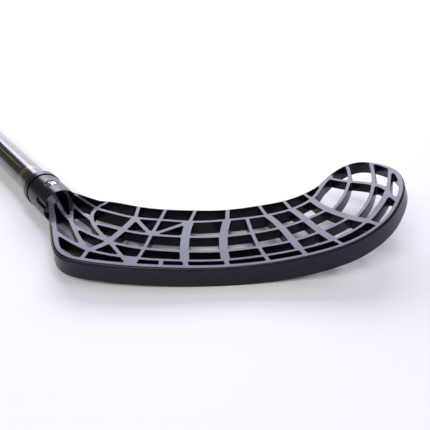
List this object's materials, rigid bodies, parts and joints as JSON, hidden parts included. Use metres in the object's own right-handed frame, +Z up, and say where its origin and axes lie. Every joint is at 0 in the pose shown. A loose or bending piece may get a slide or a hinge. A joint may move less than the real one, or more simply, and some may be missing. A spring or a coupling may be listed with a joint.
{
  "type": "floorball stick",
  "caption": "Floorball stick lying flat: open lattice blade with a curved toe and a hosel screwed and glued to a long round shaft with a wrapped grip and a butt cap.",
  "frame": {"origin": "middle of the bounding box, on the floor under the lying stick", "axes": "+Y along the shaft towards the butt, +Z up out of the blade's hollow side, +X towards the toe"},
  "size_m": [0.2436, 1.1179, 0.0385],
  "materials": {
    "blade_plastic": "satin moulded",
    "collar_plastic": "satin",
    "hot_melt_glue": "waxy",
    "shaft_laminate": "lacquered composite with gold lines",
    "plug_plastic": "moulded",
    "washer_steel": "zinc plated",
    "screw_steel": "nickel plated",
    "grip_rubber": "tacky wound tape",
    "band_tape": "smooth tape",
    "cap_rubber": "moulded"
  },
  "bodies": {
    "stick": {"blade": "blade_plastic", "hosel_collar": "collar_plastic", "hosel_glue": "hot_melt_glue", "shaft_tube": "shaft_laminate", "shaft_plug": "plug_plastic", "grip_wrap": "grip_rubber", "grip_band": "band_tape", "butt_cap": "cap_rubber"},
    "washer": {"screw_washer": "washer_steel"},
    "screw": {"blade_screw": "screw_steel"}
  },
  "joints": [
    {"name": "screw_out", "type": "slide", "parent": "stick", "child": "washer", "axis": [0.0523, 0, 0.9986], "range_m": [0, 0.0112]},
    {"name": "screw_turn", "type": "hinge", "parent": "washer", "child": "screw", "pos_m": [-0.09274, -0.36354, 0.02628], "axis": [0.0523, 0, 0.9986], "range_deg": [0, 2520]}
  ],
  "couplings": [
    {"joint": "screw_turn", "follows": "screw_out", "rad_per_m": 3927}
  ]
}
